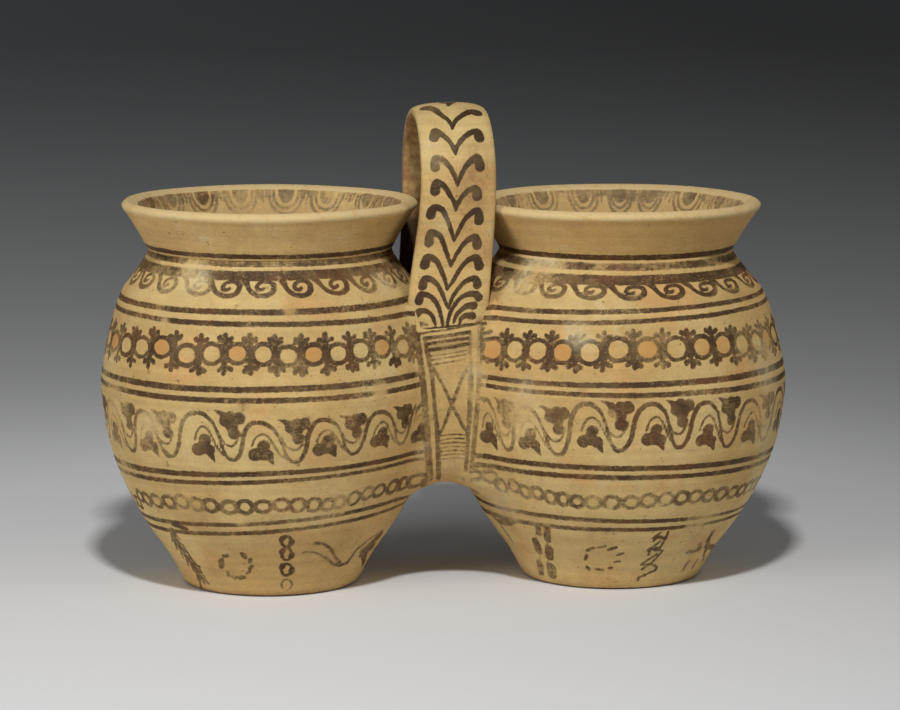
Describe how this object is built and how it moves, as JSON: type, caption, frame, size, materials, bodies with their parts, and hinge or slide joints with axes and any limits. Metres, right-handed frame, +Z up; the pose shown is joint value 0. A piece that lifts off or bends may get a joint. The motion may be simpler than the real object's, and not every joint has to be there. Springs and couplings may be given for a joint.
{
  "type": "double jar with strap handle",
  "caption": "Hand-painted fired-clay double jar: round-bellied jars joined at the belly, with flaring rims and a strap handle arching between them.",
  "frame": {"origin": "under the middle of the outline, on the ground plane that both feet stand on", "axes": "+X from the left jar to the right jar as seen from the front, +Y to the back, +Z up"},
  "size_m": [0.311, 0.1564, 0.2165],
  "materials": {
    "body_clay": "matt buff fired clay with dark brown and orange-red slip painting, worn in places",
    "rim_clay": "matt buff fired clay, plain outside, painted arcs inside",
    "web_clay": "matt buff fired clay with painted frame lines",
    "handle_clay": "matt buff fired clay with painted leaf strokes"
  },
  "bodies": {
    "root": {"left_bowl": "body_clay", "left_collar": "rim_clay", "right_bowl": "body_clay", "right_collar": "rim_clay", "bridge_web": "web_clay", "front_panel": "web_clay", "back_panel": "web_clay", "handle_strap": "handle_clay"}
  },
  "joints": []
}
